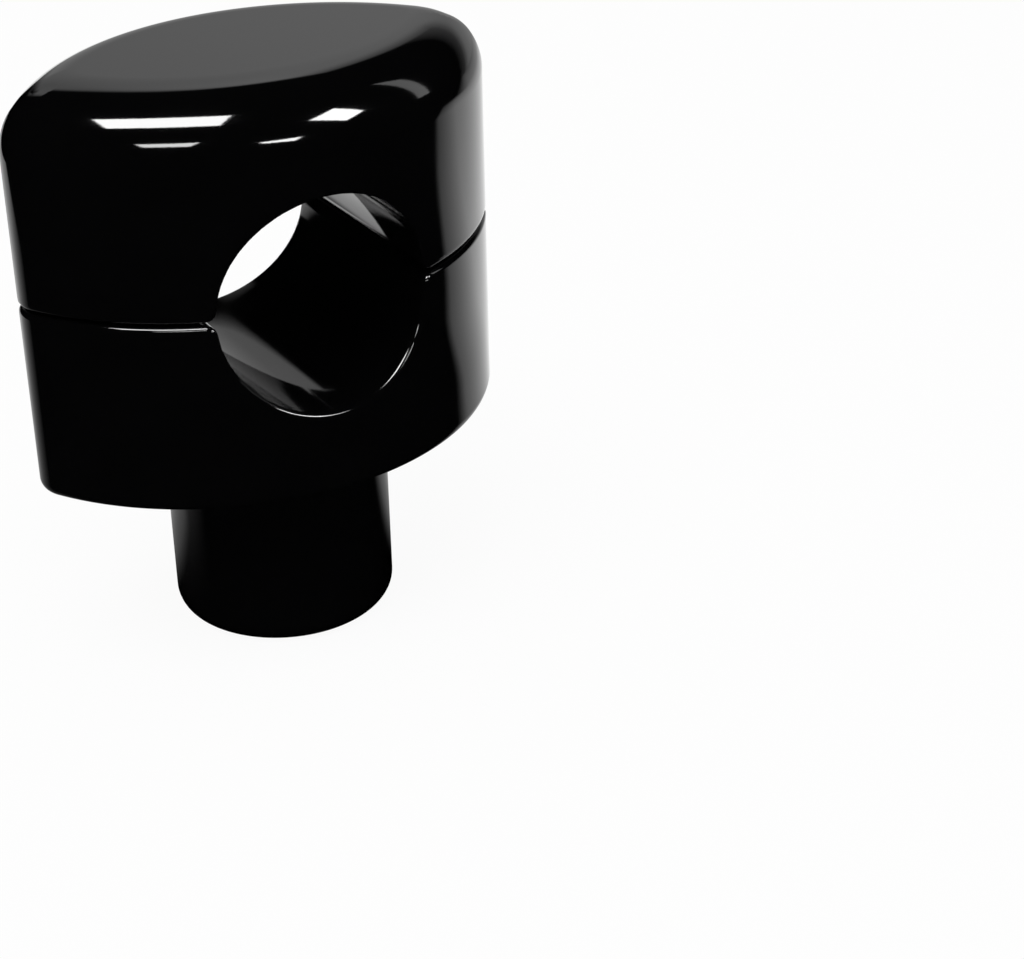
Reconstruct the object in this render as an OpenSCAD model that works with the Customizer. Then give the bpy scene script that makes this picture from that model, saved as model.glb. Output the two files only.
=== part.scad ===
// Handlebar riser with a two-piece oval clamp.
// The base has a round stub that stands on the fork's top clamp, and half of the handlebar bore.
// The cap has the other half, and two screws pull it down from below, so its top stays plain.
// X runs along the handlebar, Y along the line of the two screws, and Z up from the stub's foot.

/* [Handlebar clamp] */
// Diameter of the handlebar
bar_d = 31.75; // [28:0.05:34]
// Height of the handlebar's axis above the stub's foot
rise = 56.2; // [54:0.1:65]
// Gap between the base and the cap
clamp_gap = 0.4; // [0.2:0.1:0.8]
// Radius that eases the bore into the two mating faces
bore_lip_r = 1.5; // [0.8:0.1:1.8]

/* [Oval body] */
// Length along the line of the screws
body_l = 73; // [71:0.5:80]
// Width along the handlebar
body_w = 46; // [42:0.5:50]
// Radius of the oval's two ends in plan
end_r = 5; // [4:0.5:8]
// Height of the cap
cap_h = 31.4; // [28:0.1:40]
// Radius of the cap's top edge
top_r = 10; // [6:0.5:11]
// Radius of the base's lower edge
lower_r = 2; // [1:0.1:4]
// Radius of the edges along the parting line
parting_r = 0.8; // [0.4:0.1:1.2]

/* [Stub] */
// Diameter of the stub
stub_d = 33; // [30:0.5:34]
// Height of the stub below the oval body
stub_h = 27.5; // [20:0.5:28]
// Radius of the stub's lower edge
foot_r = 3.2; // [1:0.1:4]
// Radius of the hollow where the stub meets the body
neck_r = 1.6; // [0.5:0.1:2.5]

/* [Mounting thread] */
// Outside diameter of the mounting bolt's thread
stud_d = 12.7; // [10:0.1:14]
// Depth of the full thread
stud_depth = 25; // [16:0.5:25]
// Width of the lead-in at the mouth
stud_lead = 0.8; // [0.4:0.1:1.2]

/* [Clamp screws] */
// Distance from each end of the oval to the nearest screw's axis
screw_inset = 11.5; // [10:0.5:14]
// Diameter of the screw's thread
screw_d = 7.94; // [6:0.01:8]
// Length below the head
screw_l = 31.75; // [28:0.25:38]
// Diameter of the head
head_d = 11.9; // [10:0.1:12.5]
// Height of the head
head_h = 7.94; // [6:0.01:8.5]
// Width across the flats of the key socket
key_af = 6.35; // [5:0.05:6.5]
// Depth of the key socket
key_depth = 4; // [3:0.1:5]
// How far each head sits up inside its recess
head_inset = 1.1; // [0.5:0.1:2]

/* [Clearances] */
// Radial room around a screw in the base
screw_room = 0.45; // [0.2:0.05:0.6]
// Radial room around a screw's head in its recess
head_room = 0.7; // [0.4:0.05:1]
// Radial room around a screw in its tapped hole
thread_room = 0.03; // [0.02:0.01:0.05]
// Depth of the tapped hole past the screw's tip
tap_runout = 3; // [1:0.5:5]
// Width of the small bevel at hole mouths and on the screws
bevel = 0.4; // [0.2:0.1:0.6]

/* [Hidden] */
$fn = 96;

// The paint that both halves wear, and the screws' black oxide
PAINT = [0.02, 0.02, 0.022];
OXIDE = [0.12, 0.12, 0.13];
// Past a face, so that a cut breaks through it
PAST = 1;
// Half the angle of a drill's point
DRILL_HALF_ANGLE = 59;
// Flat left at the middle of an end whose edge would otherwise use up its radius
END_CORE = 0.5;

// Oval outline: two side arcs that run into two end arcs at their tangent points
half_l = body_l / 2;
half_w = body_w / 2;
end_y = half_l - end_r;
screw_y = half_l - screw_inset;
side_r = (end_y * end_y + half_w * half_w - end_r * end_r) / (2 * (half_w - end_r));
side_x = side_r - half_w;
tangent_angle = atan2(end_y, side_x);

// Heights
base_top = rise - clamp_gap / 2;
cap_foot = rise + clamp_gap / 2;
base_h = base_top - stub_h;
recess_h = head_inset + head_h;
seat_z = stub_h + recess_h;
tip_z = seat_z + screw_l;
tap_top = tip_z + tap_runout;

// Bore lip: the easing circle touches the bore from outside and the mating face from below
bar_r = bar_d / 2;
lip_drop = bore_lip_r + clamp_gap / 2;
lip_y = sqrt(pow(bar_r + bore_lip_r, 2) - lip_drop * lip_drop);
lip_touch = lip_drop * bar_r / (bar_r + bore_lip_r);

// What is left outside a rounded corner at the origin that faces +X and +Y
module corner_waste(r) {
    difference() {
        square(r + PAST);
        circle(r);
    }
}

// Half section of a round block, with its lower and upper edges rounded
module block_section(r, h, low_r, high_r) {
    difference() {
        square([r, h]);
        translate([r - high_r, h - high_r]) corner_waste(high_r);
        translate([r - low_r, low_r]) mirror([0, 1]) corner_waste(low_r);
    }
}

// Round block standing on the XY plane
module round_block(r, h, low_r, high_r) {
    rotate_extrude() block_section(r, h, low_r, high_r);
}

// Plan of the stretch where the two side arcs bound the oval
module side_sector() {
    reach = body_l;
    dx = reach * cos(tangent_angle);
    dy = reach * sin(tangent_angle);
    polygon([
        [0, end_y], [-dx, end_y + dy], [-dx, -end_y - dy],
        [0, -end_y], [dx, -end_y - dy], [dx, end_y + dy]
    ]);
}

// Both ends of the oval, with edges that stay within their own radius
module end_blocks(h, low_r, high_r) {
    most = end_r - END_CORE;
    for (side = [-1, 1])
        translate([0, side * end_y, 0]) round_block(end_r, h, min(low_r, most), min(high_r, most));
}

// What lies within both side arcs, which carry the block's rounded edges with them
module between_sides(h, low_r, high_r) {
    intersection() {
        translate([-side_x, 0, 0]) round_block(side_r, h, low_r, high_r);
        translate([side_x, 0, 0]) round_block(side_r, h, low_r, high_r);
        children();
    }
}

// Oval block: sides and two ends, which the sides also trim where an edge is too wide for them
module oval_block(h, low_r, high_r) {
    if (max(low_r, high_r) < end_r) {
        between_sides(h, low_r, high_r) linear_extrude(h) side_sector();
        end_blocks(h, low_r, high_r);
    } else
        between_sides(h, low_r, high_r) {
            linear_extrude(h) side_sector();
            end_blocks(h, low_r, high_r);
        }
}

// Section of the handlebar cut in one half, with the half's mating face on its upper side
module bore_section() {
    circle(bar_r);
    difference() {
        translate([-lip_y, -lip_touch]) square([2 * lip_y, lip_touch + PAST]);
        for (side = [-1, 1])
            translate([side * lip_y, -lip_drop]) circle(bore_lip_r);
    }
}

// Handlebar cut along X, centred on the bore's axis
module bore_cut() {
    rotate([90, 0, 90]) linear_extrude(body_w + 2 * PAST, center = true) bore_section();
}

// Hole from the origin upwards, with a bevelled mouth below and a drill's point above
module drilled_hole(r, depth, mouth) {
    translate([0, 0, -PAST]) cylinder(r = r, h = depth + PAST);
    translate([0, 0, depth]) cylinder(r1 = r, r2 = 0, h = r / tan(DRILL_HALF_ANGLE));
    hole_mouth(r, mouth);
}

// Bevel at a hole's lower mouth
module hole_mouth(r, mouth) {
    translate([0, 0, -PAST]) cylinder(r1 = r + mouth + PAST, r2 = r, h = mouth + PAST);
}

// Hollow radius that blends the stub into the body's underside
module neck() {
    stub_r = stub_d / 2;
    rotate_extrude() difference() {
        translate([stub_r - PAST, stub_h - neck_r]) square([neck_r + PAST, neck_r + PAST]);
        translate([stub_r + neck_r, stub_h - neck_r]) circle(neck_r);
    }
}

// One screw's way through the base: the head's recess, its seat and the shank's hole
module screw_way() {
    shank_r = screw_d / 2 + screw_room;
    recess_r = head_d / 2 + head_room;
    translate([0, 0, stub_h]) hole_mouth(recess_r, bevel);
    translate([0, 0, stub_h - PAST]) cylinder(r = recess_r, h = recess_h + PAST);
    translate([0, 0, stub_h]) cylinder(r = shank_r, h = base_h + PAST);
    translate([0, 0, base_top]) mirror([0, 0, 1]) hole_mouth(shank_r, bevel);
}

// Lower half of the clamp, cast in one piece with its stub
module riser_base() {
    color(PAINT) difference() {
        union() {
            translate([0, 0, stub_h]) oval_block(base_h, lower_r, parting_r);
            round_block(stub_d / 2, stub_h + PAST, foot_r, 0);
            neck();
        }
        translate([0, 0, rise]) bore_cut();
        drilled_hole(stud_d / 2, stud_depth, stud_lead);
        for (side = [-1, 1])
            translate([0, side * screw_y, 0]) screw_way();
    }
}

// Upper half of the clamp, with a plain top and two tapped holes that open downwards
module clamp_cap() {
    color(PAINT) difference() {
        translate([0, 0, cap_foot]) oval_block(cap_h, parting_r, top_r);
        translate([0, 0, rise]) mirror([0, 0, 1]) bore_cut();
        for (side = [-1, 1])
            translate([0, side * screw_y, cap_foot])
                drilled_hole(screw_d / 2 + thread_room, tap_top - cap_foot, bevel);
    }
}

// Socket head screw that points up, with its head's seat on the XY plane
module socket_screw() {
    color(OXIDE) difference() {
        union() {
            mirror([0, 0, 1]) round_block(head_d / 2, head_h, 0, bevel);
            cylinder(d = screw_d, h = screw_l - bevel);
            translate([0, 0, screw_l - bevel])
                cylinder(r1 = screw_d / 2, r2 = screw_d / 2 - bevel, h = bevel);
        }
        translate([0, 0, -head_h - PAST])
            rotate(30) cylinder(r = key_af / 2 / cos(30), h = key_depth + PAST, $fn = 6);
    }
}

module front_clamp_screw() {
    translate([0, screw_y, seat_z]) socket_screw();
}

module rear_clamp_screw() {
    translate([0, -screw_y, seat_z]) socket_screw();
}

riser_base();
clamp_cap();
front_clamp_screw();
rear_clamp_screw();
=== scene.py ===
"""Looks for the handlebar riser: two painted castings, two socket screws, a cut thread and a studio.

The castings are meshed from distance fields, so that every edge has its real small radius.
The part's lengths are in millimetres until a mesh is made. The studio's are in metres.
"""
import math

import bmesh
import bpy
import numpy as np
from mathutils import Matrix, Vector


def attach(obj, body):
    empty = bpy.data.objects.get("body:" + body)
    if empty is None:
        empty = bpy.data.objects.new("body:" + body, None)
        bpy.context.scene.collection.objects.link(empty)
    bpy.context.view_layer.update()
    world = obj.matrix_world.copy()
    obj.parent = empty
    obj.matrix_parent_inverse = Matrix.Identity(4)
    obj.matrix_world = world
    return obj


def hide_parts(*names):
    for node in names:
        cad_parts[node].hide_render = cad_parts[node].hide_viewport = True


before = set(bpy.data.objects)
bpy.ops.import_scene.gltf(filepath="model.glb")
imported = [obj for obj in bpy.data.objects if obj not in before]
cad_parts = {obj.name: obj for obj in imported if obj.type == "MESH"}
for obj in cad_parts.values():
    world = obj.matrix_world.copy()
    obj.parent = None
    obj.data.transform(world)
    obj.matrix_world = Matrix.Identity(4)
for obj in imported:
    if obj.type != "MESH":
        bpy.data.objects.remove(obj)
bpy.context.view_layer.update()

MM = 0.001
INCH = 25.4

# Sizes that the part's source also has, or that follow from them
BAR_R = 31.75 / 2
RISE = 56.2
CLAMP_GAP = 0.4
LIP_R = 1.5
HALF_L = 36.5
HALF_W = 23.0
END_R = 5.0
CAP_H = 31.4
TOP_R = 10.0
LOWER_R = 2.0
STUB_R = 16.5
STUB_H = 27.5
FOOT_R = 3.2
NECK_R = 1.6
STUD_R = 6.35
STUD_DEPTH = 25.0
SCREW_Y = 25.0
SCREW_R = 7.94 / 2
SCREW_L = 31.75
HEAD_R = 11.9 / 2
HEAD_H = 7.94
KEY_AF = 6.35
KEY_DEPTH = 4.0
# The head's recess, the screw's way through the base, and the tapped hole
RECESS_R = 6.65
WAY_R = 4.42
TAP_R = 4.0
SEAT_Z = 36.54
TAP_TOP = 71.29

# Small edges that only the looks have: the bore's rims, hole mouths, and the hole in a screw's seat
RIM_R = 0.8
HOLE_EDGE_R = 0.35
SEAT_EDGE_R = 0.1
# Easing of the ridge at the cap's ends: how far it reaches, its samples, and where it grows in,
# as a depth inside the outline and a stretch from there
RIDGE_EASE = 2.0
EASE_SAMPLES = 5
EASE_FROM = 2
EASE_OVER = 3
# A drill's point: its rise for each millimetre of radius, and what brings its field's slope to 1
POINT_RISE = 0.6
POINT_SCALE = 0.857
# How far the stub runs on into the body, and how far below the body a recess is cut free
STUB_OVERLAP = 6
RECESS_RUNOUT = 4

END_Y = HALF_L - END_R
SIDE_R = (END_Y ** 2 + HALF_W ** 2 - END_R ** 2) / (2 * (HALF_W - END_R))
SIDE_X = SIDE_R - HALF_W
TANGENT = math.atan2(END_Y, SIDE_X)
BASE_TOP = RISE - CLAMP_GAP / 2
CAP_FOOT = RISE + CLAMP_GAP / 2
CAP_TOP = CAP_FOOT + CAP_H

# Grid cells of the castings' meshes
CELL = 0.45
# Limits on one move of a mesh point: the longest step, and the least square of a slope
LONGEST_STEP = 0.3
LEAST_SLOPE = 0.2
TINY = 1e-6

# A thread's ridge: half its width at the root and at the crest in pitches, how many times its full
# height it would gain in a turn at either end, and the share of the height that it starts from
ROOT_HALF = 0.46
CREST_HALF = 0.09
GROWTH = 2.5
FIRST_HEIGHT = 0.02
SCREW_PITCH = INCH / 18
STUD_PITCH = INCH / 13
# The screw's core is a little wider than its ridge's root, so that the two overlap
SCREW_CORE_R = 3.26
SCREW_ROOT_R = 3.24
SCREW_TIP_R = 2.7
STUD_CREST_R = 5.42

# Segments round a screw, and how deep the knurl cuts each of four that repeat
HEAD_SEGMENTS = 240
KNURL = (0.0, 0.07, 0.14, 0.07)


# Distance fields: negative inside the metal, in millimetres

def round_and(a, b, r):
    """What two fields have in common, with an edge of radius r."""
    bulge = np.hypot(np.maximum(a + r, 0), np.maximum(b + r, 0))
    return np.minimum(-r, np.maximum(a, b)) + bulge


def round_or(a, b, r):
    """Two fields joined, with a hollow of radius r."""
    dip = np.hypot(np.maximum(r - a, 0), np.maximum(r - b, 0))
    return np.maximum(r, np.minimum(a, b)) - dip


def sharp_oval(x, y):
    """Plan of the body: two side arcs and two end arcs."""
    x, y = np.abs(x), np.abs(y)
    side = np.hypot(x + SIDE_X, y) - SIDE_R
    end = np.hypot(x, y - END_Y) - END_R
    return np.where(np.arctan2(y, x + SIDE_X) < TANGENT, side, end)


def oval(x, y):
    """The same plan, eased well inside, so that the top edge's two sides meet softly at the ends."""
    plain = sharp_oval(x, y)
    steps = np.linspace(-RIDGE_EASE, RIDGE_EASE, EASE_SAMPLES)
    eased = sum(sharp_oval(x + step, y) for step in steps) / len(steps)
    share = np.clip((-plain - EASE_FROM) / EASE_OVER, 0, 1)
    return plain * (1 - share) + eased * share


def drilled(x, y, z, at_y, r, top):
    """Round hole along Z up to top, with a drill's point above it."""
    away = np.hypot(x, y - at_y) - r
    return np.maximum(away, (z - top + away * POINT_RISE) * POINT_SCALE)


def clamp_half(y, z, outer, mating):
    """One half of the clamp, from its outside and its mating face, with the handlebar cut out."""
    inner = round_and(mating, BAR_R - np.hypot(y, z - RISE), LIP_R)
    return round_and(outer, inner, RIM_R)


def clamp_cap(x, y, z):
    outer = round_and(oval(x, y), z - CAP_TOP, TOP_R)
    body = clamp_half(y, z, outer, CAP_FOOT - z)
    taps = drilled(x, np.abs(y), z, SCREW_Y, TAP_R, TAP_TOP)
    return round_and(body, -taps, HOLE_EDGE_R)


def riser_base(x, y, z):
    outer = round_and(oval(x, y), STUB_H - z, LOWER_R)
    body = clamp_half(y, z, outer, z - BASE_TOP)
    stub = round_and(np.hypot(x, y) - STUB_R, -z, FOOT_R)
    solid = round_or(body, np.maximum(stub, z - STUB_H - STUB_OVERLAP), NECK_R)
    away = np.hypot(x, np.abs(y) - SCREW_Y)
    recess = round_or(away - WAY_R, np.maximum(away - RECESS_R, z - SEAT_Z), SEAT_EDGE_R)
    hole = np.minimum(np.maximum(recess, STUB_H - RECESS_RUNOUT - z),
                      drilled(x, y, z, 0, STUD_R, STUD_DEPTH))
    return round_and(solid, -hole, HOLE_EDGE_R)


# Meshing

def moved(cells, *moves):
    """Grid cells moved along some axes. A move is (axis, how many cells)."""
    cells = cells.copy()
    for axis, by in moves:
        cells[:, axis] += by
    return cells


def crossed_cells(inside):
    """Grid cells that the surface crosses, and a grid with each one's number in the list."""
    nx, ny, nz = (n - 1 for n in inside.shape)
    corners = sum(inside[i:nx + i, j:ny + j, k:nz + k].astype(np.uint8)
                  for i in (0, 1) for j in (0, 1) for k in (0, 1))
    cells = np.argwhere((corners > 0) & (corners < 8))
    index = np.full((nx, ny, nz), -1)
    index[tuple(cells.T)] = np.arange(len(cells))
    return cells, index


def mean_crossings(f, cells, cell):
    """For each cell, the mean of the points where the surface crosses its twelve edges."""
    total, hits = np.zeros((len(cells), 3)), np.zeros((len(cells), 1))
    for axis in range(3):
        u, v = (axis + 1) % 3, (axis + 2) % 3
        for du, dv in ((0, 0), (0, 1), (1, 0), (1, 1)):
            start = moved(cells, (u, du), (v, dv))
            fa, fb = f[tuple(start.T)], f[tuple(moved(start, (axis, 1)).T)]
            cut = (fa < 0) != (fb < 0)
            point = start[cut].astype(float)
            point[:, axis] += fa[cut] / (fa[cut] - fb[cut])
            total[cut] += point
            hits[cut] += 1
    return cell * total / hits


def joining_quads(inside, index):
    """A quad for each grid edge that crosses the surface, between the four cells round that edge."""
    quads = []
    for axis in range(3):
        u, v = (axis + 1) % 3, (axis + 2) % 3
        first = np.take(inside, range(inside.shape[axis] - 1), axis)
        second = np.take(inside, range(1, inside.shape[axis]), axis)
        edges = np.argwhere(first != second)
        ring = [index[tuple(moved(edges, (u, du), (v, dv)).T)]
                for du, dv in ((-1, -1), (0, -1), (0, 0), (-1, 0))]
        quad = np.stack(ring, -1)
        outward = first[tuple(edges.T)]
        quads.append(np.where(outward[:, None], quad, quad[:, ::-1]))
    return np.concatenate(quads)


def surface_net(field, low, high, cell):
    """Vertices and quads on a field's zero level: one vertex in each grid cell that it crosses."""
    axes = [np.arange(a - 2 * cell, b + 2.5 * cell, cell) for a, b in zip(low, high)]
    f = field(axes[0][:, None, None], axes[1][None, :, None], axes[2][None, None, :])
    cells, index = crossed_cells(f < 0)
    verts = np.array([a[0] for a in axes]) + mean_crossings(f, cells, cell)
    return verts, joining_quads(f < 0, index)


def slope(field, points, h=0.004):
    """Gradient of a field at some points."""
    steps = np.eye(3) * h
    return np.stack([(field(*(points + s).T) - field(*(points - s).T)) / (2 * h) for s in steps], -1)


def settle(field, points, rounds=8):
    """Points moved onto a field's zero level, each along its own slope."""
    for _ in range(rounds):
        g = slope(field, points)
        reach = field(*points.T)[:, None] * g / np.maximum((g * g).sum(1, keepdims=True), LEAST_SLOPE)
        points = points - np.clip(reach, -LONGEST_STEP, LONGEST_STEP)
    return points


def place(name, data):
    """New object at the origin, with a mesh, a lamp or a camera in it."""
    obj = bpy.data.objects.new(name, data)
    bpy.context.scene.collection.objects.link(obj)
    return obj


def casting(name, field, foot, top):
    """Smooth object on a field's zero level, between two heights, shaded by the field's own slope."""
    cell = CELL
    verts, quads = surface_net(field, (-HALF_W, -HALF_L, foot), (HALF_W, HALF_L, top), cell)
    verts = settle(field, verts)
    normals = slope(field, verts)
    normals /= np.maximum(np.linalg.norm(normals, axis=1, keepdims=True), TINY)
    mesh = bpy.data.meshes.new(name)
    mesh.from_pydata((verts * MM).tolist(), [], quads.tolist())
    mesh.shade_smooth()
    mesh.normals_split_custom_set_from_vertices(normals.tolist())
    return place(name, mesh)


def strips(starts, count):
    """Quads between each closed ring of vertices and the next. Each start is a ring's first vertex."""
    return [(a + i, a + (i + 1) % count, b + (i + 1) % count, b + i)
            for a, b in zip(starts, starts[1:]) for i in range(count)]


def thread(root_r, crest_r, pitch, low, high, per_turn=60):
    """Vertices and faces of one thread ridge, which fades in and out at its ends."""
    turns = (high - low) / pitch
    verts = []
    for i in range(int(turns * per_turn) + 1):
        turn = i / per_turn
        grown = min(1, GROWTH * turn, GROWTH * max(turns - turn, 0))
        crest = root_r + (crest_r - root_r) * max(grown, FIRST_HEIGHT)
        z = low + turn * pitch
        c, s = math.cos(2 * math.pi * turn), math.sin(2 * math.pi * turn)
        section = ((root_r, -ROOT_HALF), (crest, -CREST_HALF), (crest, CREST_HALF), (root_r, ROOT_HALF))
        verts += [(r * c, r * s, z + dz * pitch) for r, dz in section]
    return verts, strips(range(0, len(verts), len(section)), len(section))


def lathe(rings, segments):
    """Vertices and faces of a turned shape. A ring is (height, radius or what gives each segment's)."""
    verts = []
    for z, radius in rings:
        for i in range(segments):
            a = 2 * math.pi * i / segments
            r = radius(i) if callable(radius) else radius
            verts.append((r * math.cos(a), r * math.sin(a), z))
    starts = range(0, len(verts), segments)
    ends = [tuple(range(start, start + segments)) for start in (starts[0], starts[-1])]
    return verts, strips(starts, segments) + ends


def solid_mesh(name, parts, sharp_degrees=32):
    """Mesh from several (vertices, faces) in millimetres, with sharp edges kept sharp."""
    verts, faces = [], []
    for v, f in parts:
        faces += [tuple(i + len(verts) for i in face) for face in f]
        verts += v
    mesh = bpy.data.meshes.new(name)
    mesh.from_pydata([tuple(c * MM for c in v) for v in verts], [], faces)
    work = bmesh.new()
    work.from_mesh(mesh)
    bmesh.ops.recalc_face_normals(work, faces=work.faces)
    work.to_mesh(mesh)
    work.free()
    mesh.shade_smooth()
    mesh.set_sharp_from_angle(angle=math.radians(sharp_degrees))
    return mesh


def screw_mesh():
    """Socket head screw that points up, with its head's seat at height 0."""
    head_end, socket_floor = -HEAD_H, KEY_DEPTH - HEAD_H
    rim_r, shank_r = HEAD_R - 0.02, SCREW_R - 0.05

    def grip(i):
        return rim_r - KNURL[i % len(KNURL)]

    def hexagon(i):
        a = math.radians(i * 360 / HEAD_SEGMENTS % 60 - 30)
        return KEY_AF / 2 / math.cos(a)

    # Each row is a height and a radius, from the socket's floor outwards and up to the tip
    socket = [(socket_floor + 1.2, 0.05), (socket_floor, 2.7), (socket_floor, hexagon),
              (head_end + 0.35, hexagon), (head_end, 3.85)]
    head = [(head_end, HEAD_R - 0.75), (head_end + 0.12, HEAD_R - 0.35),
            (head_end + 0.4, HEAD_R - 0.12), (head_end + 0.75, rim_r), (head_end + 0.95, grip),
            (-1.35, grip), (-1.15, rim_r), (-0.3, rim_r), (0.0, HEAD_R - 0.25)]
    shank = [(0.0, SCREW_R + 0.15), (0.3, shank_r), (5.2, shank_r), (6.0, SCREW_CORE_R),
             (SCREW_L - 0.9, SCREW_CORE_R), (SCREW_L, SCREW_TIP_R)]
    turned = lathe(socket + head + shank, HEAD_SEGMENTS)
    ridge = thread(SCREW_ROOT_R, SCREW_R - 0.02, SCREW_PITCH, 5.6, SCREW_L - 1.0)
    return solid_mesh("clamp_screw", [turned, ridge])


def stud_thread_mesh():
    """Thread in the stub's hole. Its root lies a little way inside the metal."""
    ridge = thread(STUD_R + 0.05, STUD_CREST_R, STUD_PITCH, 1.3, STUD_DEPTH - 0.5)
    return solid_mesh("stud_thread", [ridge])


# Materials

class Tree:
    """The nodes of one material or world, with short names for those that are used often."""

    def __init__(self, owner):
        owner.use_nodes = True
        self.nodes, self.links = owner.node_tree.nodes, owner.node_tree.links

    def fill(self, node, inputs):
        """Give a node's inputs a number, a colour or another node's output each."""
        for name, value in inputs.items():
            if isinstance(value, bpy.types.NodeSocket):
                self.links.new(value, node.inputs[name])
            else:
                node.inputs[name].default_value = value

    def add(self, kind, inputs, **settings):
        """New node, with its settings made and its inputs filled."""
        node = self.nodes.new(kind)
        for name, value in settings.items():
            setattr(node, name, value)
        self.fill(node, inputs)
        return node

    def math(self, operation, *values):
        node = self.add("ShaderNodeMath", dict(enumerate(values)), operation=operation)
        return node.outputs[0]

    def vector_math(self, operation, *values):
        node = self.add("ShaderNodeVectorMath", dict(enumerate(values)), operation=operation)
        return node.outputs["Value"]

    def scaled(self, value, by, plus=0.0):
        return self.math("MULTIPLY_ADD", value, by, plus)

    def product(self, first, *others):
        for other in others:
            first = self.math("MULTIPLY", first, other)
        return first

    def ramp(self, value, a, b, to_a=0.0, to_b=1.0, kind="SMOOTHSTEP"):
        """What runs from to_a to to_b, with soft ends, while the value runs from a to b."""
        inputs = {"Value": value, "From Min": a, "From Max": b, "To Min": to_a, "To Max": to_b}
        node = self.add("ShaderNodeMapRange", inputs, interpolation_type=kind)
        return node.outputs["Result"]

    def line(self, value, a, b, to_a=0.0, to_b=1.0):
        """The same in a straight line."""
        return self.ramp(value, a, b, to_a, to_b, "LINEAR")

    def where(self):
        """Where the point is on the object."""
        return self.add("ShaderNodeTexCoord", {}).outputs["Object"]

    def apart(self, where):
        """X, y and z of a place."""
        split = self.add("ShaderNodeSeparateXYZ", {"Vector": where}).outputs
        return split["X"], split["Y"], split["Z"]

    def noise(self, where, scale, detail, rough=0.5):
        inputs = {"Vector": where, "Scale": scale, "Detail": detail, "Roughness": rough}
        return self.add("ShaderNodeTexNoise", inputs).outputs["Fac"]

    def blend(self, share, a, b):
        """Colour that runs from a to b with the share."""
        inputs = {"Factor": share, "A": (*a, 1), "B": (*b, 1)}
        return self.add("ShaderNodeMix", inputs, data_type="RGBA").outputs["Result"]

    def bump(self, height, depth, over=None):
        """Normal bent by a height that is depth millimetres deep, over another normal if one is given."""
        inputs = {"Height": height, "Strength": 1.0, "Distance": depth * MM}
        if over is not None:
            inputs["Normal"] = over
        return self.add("ShaderNodeBump", inputs).outputs["Normal"]

    def glow(self, strength):
        return self.add("ShaderNodeEmission", {"Strength": strength}).outputs["Emission"]

    def either(self, share, first, second):
        """Mix of two shaders, with this share of the second."""
        return self.add("ShaderNodeMixShader", {0: share, 1: first, 2: second}).outputs["Shader"]

    def show(self, surface, output="Material Output"):
        """Make a shader the one that the material or world shows."""
        self.fill(self.nodes[output], {"Surface": surface})


def new_material(name):
    """New material, its nodes, and the shader among them."""
    material = bpy.data.materials.new(name)
    tree = Tree(material)
    return material, tree, tree.nodes["Principled BSDF"]


def powder_coat():
    """Gloss black coat with a faint orange peel, a fine grain and slightly uneven gloss."""
    material, tree, shader = new_material("gloss_black_coat")
    where = tree.where()
    peel = tree.noise(where, 620, 1.5)
    grain = tree.noise(where, 5200, 2)
    cloud = tree.noise(where, 90, 3)
    tree.fill(shader, {
        "Base Color": tree.blend(cloud, (0.0010, 0.0010, 0.0011), (0.0018, 0.0018, 0.0020)),
        "Roughness": tree.line(cloud, 0.3, 0.7, 0.045, 0.075),
        "IOR": 1.5,
        "Normal": tree.bump(grain, 0.0012, over=tree.bump(peel, 0.0016))})
    return material


def black_oxide():
    """Oiled black oxide on steel, with a fine grain and rubbed patches."""
    material, tree, shader = new_material("black_oxide_steel")
    where = tree.where()
    grain = tree.noise(where, 3800, 3)
    rubbed = tree.line(tree.noise(where, 260, 4, 0.6), 0.42, 0.72)
    tree.fill(shader, {
        "Base Color": tree.blend(rubbed, (0.035, 0.035, 0.038), (0.085, 0.083, 0.082)),
        "Metallic": 1.0,
        "Roughness": tree.line(rubbed, 0, 1, 0.42, 0.3),
        "Normal": tree.bump(grain, 0.004)})
    return material


def cut_metal():
    """Bare aluminium, cut by a tap: fine rings round the hole."""
    material, tree, shader = new_material("cut_aluminium")
    where = tree.where()
    stretch = tree.add("ShaderNodeMapping", {"Vector": where, "Scale": (0.15, 0.15, 1.0)})
    rings = tree.noise(stretch.outputs["Vector"], 9000, 2)
    cloud = tree.noise(where, 400, 3)
    tree.fill(shader, {
        "Base Color": tree.blend(cloud, (0.52, 0.52, 0.53), (0.66, 0.66, 0.66)),
        "Metallic": 1.0,
        "Roughness": tree.line(cloud, 0.3, 0.7, 0.24, 0.36),
        "Normal": tree.bump(rings, 0.004)})
    return material


# The part

def dress(obj, material, slot, *nodes_replaced):
    obj.data.materials.clear()
    obj.data.materials.append(material)
    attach(obj, "root")
    if nodes_replaced:
        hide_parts(*nodes_replaced)


def make_part():
    coat, oxide, bare = powder_coat(), black_oxide(), cut_metal()
    cap = casting("clamp_cap_casting", clamp_cap, CAP_FOOT, CAP_TOP)
    dress(cap, coat, "body_paint", "clamp_cap")
    base = casting("riser_base_casting", riser_base, 0, BASE_TOP)
    dress(base, coat, "body_paint", "riser_base")
    mesh = screw_mesh()
    for node, side in (("front_clamp_screw", 1), ("rear_clamp_screw", -1)):
        screw = place(node + "_body", mesh if side > 0 else mesh.copy())
        screw.location = (0, side * SCREW_Y * MM, SEAT_Z * MM)
        dress(screw, oxide, "screw_steel", node)
    dress(place("stud_thread", stud_thread_mesh()), bare, "body_paint")


# The studio

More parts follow.
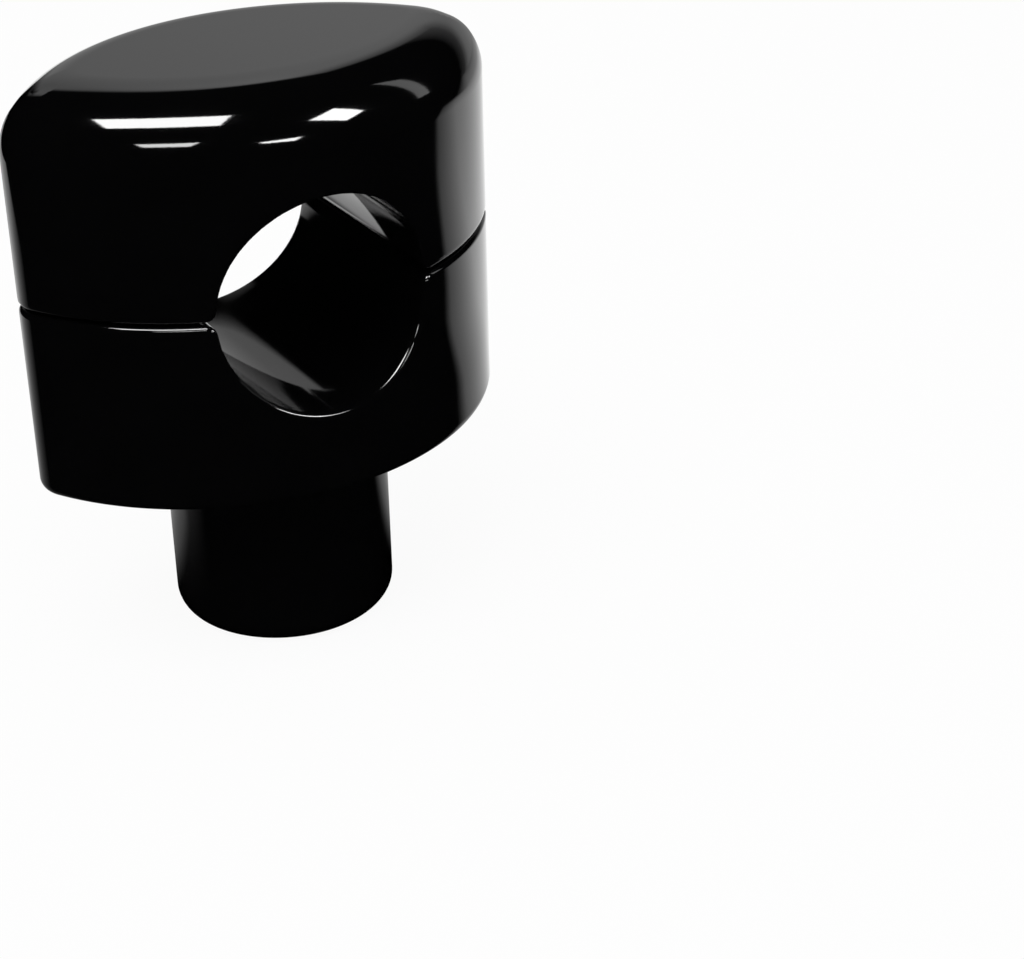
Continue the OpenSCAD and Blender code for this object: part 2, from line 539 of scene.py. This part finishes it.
# Lit panels that the coat mirrors, about a metre from the part: strength, and corners in millimetres
PANELS = {
    "top_softbox": (24, [(56, -571, 879), (434, -23, 961), (612, -148, 837), (251, -648, 779)]),
    "low_strip": (16, [(573, -684, 512), (802, -361, 536), (812, -428, 456), (635, -667, 450)]),
    "side_strip": (24, [(943, -18, 393), (919, 264, 352), (949, 213, 294), (954, -2, 359)]),
    "side_softbox": (26, [(736, 336, 647), (566, 488, 725), (603, 657, 511), (739, 555, 442)]),
    "side_patch": (1.6, [(168, 669, 784), (123, 805, 640), (189, 967, 228), (304, 933, 253),
                         (218, 771, 658)]),
}
# The floor's half width, and how white the camera sees it, the rest being its own shade
FLOOR_HALF = 8
FLOOR_WHITE = 0.94
# The wall's direction, its two ends along that, and its foot and top
WALL_ALONG = (0.5119, 0.8590, 0)
WALL_ENDS = (-1.4, 1.0)
WALL_HEIGHTS = (-0.02, 2.25)
# The dark card behind the bore's far mouth: its place along the bore, its radius and its sides
CARD_X = -0.029
CARD_R = 0.0215
CARD_SIDES = 48
# The camera's place and directions, found by fitting the part's outline to the photo's
CAMERA_AT = (0.2924281, -0.1295772, 0.1876769)
CAMERA_RIGHT = (0.5119009, 0.8588410, -0.0186975)
CAMERA_UP = (-0.3953119, 0.2548328, 0.8824901)
CAMERA_BACK = (0.7626834, -0.4443561, 0.4699592)


def flat(name, corners, material):
    """Studio object with a single face."""
    mesh = bpy.data.meshes.new(name)
    mesh.from_pydata(corners, [], [range(len(corners))])
    mesh.materials.append(material)
    obj = place(name, mesh)
    return obj


def mirrored_only(obj):
    """Hide an object from everything but reflections. It throws no light and no shadow either."""
    for ray in ("camera", "diffuse", "shadow", "transmission"):
        setattr(obj, "visible_" + ray, False)


def glowing(name, strength=0):
    """Material that only gives off light, and its nodes."""
    material = bpy.data.materials.new(name)
    tree = Tree(material)
    tree.nodes.clear()
    tree.add("ShaderNodeOutputMaterial", {"Surface": tree.glow(strength)})
    return material, tree


def seen_directly(tree, path):
    """1 where the camera looks straight at something, and 0 for light on its way."""
    return tree.math("MAXIMUM", path["Is Camera Ray"], path["Is Transmission Ray"])


def make_lights():
    for name, (strength, corners) in PANELS.items():
        material, _ = glowing(name, strength)
        mirrored_only(flat(name, [tuple(c * MM for c in corner) for corner in corners], material))
    lamp = bpy.data.lights.new("key", "AREA")
    lamp.shape = "DISK"
    lamp.size = 1.2
    lamp.energy = 12
    key = place("key", lamp)
    key.location = (0.4, -0.5, 1.5)
    key.visible_glossy = False
    middle = Vector((0, 0, 0.04))
    key.rotation_euler = (middle - key.location).to_track_quat("-Z", "Y").to_euler()


def past_edge(tree, x, y):
    """How far a point on the floor is past the lit side's edge, which runs outwards and bends twice."""
    straight = tree.scaled(y, 0.28, -0.012)
    first_bend = tree.ramp(y, 0.096, 0.128, 0.0065, 0.0205)
    bends = tree.math("ADD", first_bend, tree.ramp(y, 0.14, 0.21, 0, 0.018))
    return tree.math("SUBTRACT", x, tree.math("MINIMUM", straight, bends))


def far_fade(tree, x, y):
    """How the floor's lit side dims with distance, most of all straight behind the part."""
    return tree.product(
        tree.line(y, 0.16, 0.24, 1, 0.8),
        tree.line(y, 0.26, 0.40, 1, 0.58),
        tree.line(y, 0.40, 1.70, 1, 0.15),
        tree.math("MAXIMUM", tree.ramp(tree.scaled(y, 0.25, x), 0.08, -0.04), tree.ramp(y, 0.44, 0.34)))


def lit_side(tree, x, y):
    """The floor's lit side, behind the part: brighter inwards from its edge, with soft limits."""
    past = past_edge(tree, x, y)
    return tree.product(
        tree.ramp(past, 0.008, -0.006),
        tree.line(past, 0, -0.06, 0.46, 1.20),
        tree.ramp(tree.math("ADD", y, tree.scaled(x, 0.23, 0.023)), -0.034, -0.018),
        far_fade(tree, x, y))


def left_patch(tree, x, y):
    """The lit patch on the floor to the left of the part, as the camera sees it."""
    inward = tree.math("SUBTRACT", tree.scaled(y, 0.35, 0.011), x)
    return tree.product(
        tree.line(inward, 0, 0.110, 0, 1.045),
        tree.ramp(y, -0.196, -0.180),
        tree.ramp(y, -0.010, -0.050))


def floor_glow(tree):
    """How bright the floor is in reflections. The far side is lit, the camera's side is dark, and a
    painted shadow darkens it round the stub.
    """
    where = tree.where()
    x, y, _ = tree.apart(where)
    # Painted shadow: the floor's glow in reflections fades to dark close to the stub
    stub_painted_shadow = tree.line(tree.vector_math("LENGTH", where), 0.012, 0.062)
    return tree.product(tree.math("MAXIMUM", lit_side(tree, x, y), left_patch(tree, x, y)), stub_painted_shadow)


def make_floor():
    """Pale floor: white where the camera sees it, apart from a faint shadow."""
    material, tree, shader = new_material("pale_floor")
    tree.fill(shader, {"Base Color": (0.82, 0.82, 0.82, 1), "Roughness": 0.9, "Specular IOR Level": 0.1})
    path = tree.add("ShaderNodeLightPath", {}).outputs
    white = tree.product(seen_directly(tree, path), FLOOR_WHITE)
    plain = tree.either(white, shader.outputs["BSDF"], tree.glow(1))
    # In reflections the floor shows painted light, not its lit shade: the lit side and patch, and a
    # painted shadow round the stub
    tree.show(tree.either(path["Is Glossy Ray"], plain, tree.glow(floor_glow(tree))))
    corners = [(FLOOR_HALF * x, FLOOR_HALF * y, 0) for x, y in ((-1, -1), (1, -1), (1, 1), (-1, 1))]
    flat("floor", corners, material)


def wall_glow(tree, a, z):
    """How bright the wall is, a metres along it and z metres up."""
    below = tree.math("MAXIMUM", tree.scaled(z, -1, 0.55), 0.0)
    past = tree.math("SUBTRACT", a, tree.math("ADD", below, 0.37))
    main = tree.product(tree.ramp(past, 0.03, -0.04), tree.ramp(past, 0, -0.22, 0.42, 1))
    outward = tree.scaled(z, 0.9, a)
    dim = tree.line(outward, 1.15, 0.45, 0, 0.75)
    right = tree.math("MINIMUM", tree.math("MAXIMUM", main, dim), tree.ramp(outward, 1.80, 1.50))
    left = tree.product(tree.line(a, 0, -0.6, 1, 0.62), tree.ramp(tree.scaled(z, 0.55, a), -0.42, -0.25))
    height = tree.product(tree.line(z, 0.35, 1.45, 0.47, 1.42), tree.ramp(z, 2.2, 1.7))
    return tree.product(height, right, left)


def make_backdrop():
    """Wall behind the part, seen only in reflections: brighter upwards, with soft edges."""
    across = Vector(WALL_ALONG).normalized()
    back = Vector((-across.y, across.x, 0))
    (left, right), (foot, top) = WALL_ENDS, WALL_HEIGHTS
    corners = [tuple(back + across * a + Vector((0, 0, z)))
               for a, z in ((left, foot), (right, foot), (right, top), (left, top))]
    material, tree = glowing("backdrop_glow")
    where = tree.where()
    along = tree.vector_math("DOT_PRODUCT", where, tuple(across))
    _, _, z = tree.apart(where)
    tree.fill(tree.nodes["Emission"], {"Strength": wall_glow(tree, along, z)})
    mirrored_only(flat("backdrop", corners, material))


def make_card():
    """Round dark card that only reflections see. It thins out to nothing at its lower right."""
    turns = [2 * math.pi * i / CARD_SIDES for i in range(CARD_SIDES)]
    corners = [(CARD_X, CARD_R * math.cos(t), RISE * MM + CARD_R * math.sin(t)) for t in turns]
    material, tree = glowing("dark_card")
    _, y, z = tree.apart(tree.where())
    solid = tree.line(tree.scaled(y, -1.6, z), 0.0350, 0.0382)
    clear = tree.add("ShaderNodeBsdfTransparent", {}).outputs["BSDF"]
    tree.show(tree.either(solid, clear, tree.nodes["Emission"].outputs["Emission"]))
    mirrored_only(flat("bore_card", corners, material))


def make_world():
    """Pale to the camera, dim and even for the light that falls on the part, dark in reflections."""
    world = bpy.data.worlds.new("studio")
    bpy.context.scene.world = world
    tree = Tree(world)
    soft = tree.nodes["Background"]
    tree.fill(soft, {"Color": (1, 1, 1, 1), "Strength": 0.6})
    seen = tree.add("ShaderNodeBackground", {"Color": (0.8, 0.8, 0.8, 1)})
    dark = tree.add("ShaderNodeBackground", {"Color": (0, 0, 0, 1)})
    path = tree.add("ShaderNodeLightPath", {}).outputs
    plain = tree.either(seen_directly(tree, path), soft.outputs["Background"], seen.outputs["Background"])
    shown = tree.either(path["Is Glossy Ray"], plain, dark.outputs["Background"])
    tree.show(shown, "World Output")


def make_camera():
    camera = bpy.data.cameras.new("camera")
    camera.sensor_width = 36
    camera.lens = 83.766
    camera.clip_start = 0.01
    obj = place("camera", camera)
    turn = Matrix((CAMERA_RIGHT, CAMERA_UP, CAMERA_BACK)).transposed().to_4x4()
    obj.matrix_world = Matrix.Translation(CAMERA_AT) @ turn
    bpy.context.scene.camera = obj


make_camera()
make_part()
make_world()
make_floor()
make_backdrop()
make_card()
make_lights()
bpy.context.scene.view_settings.view_transform = "Standard"
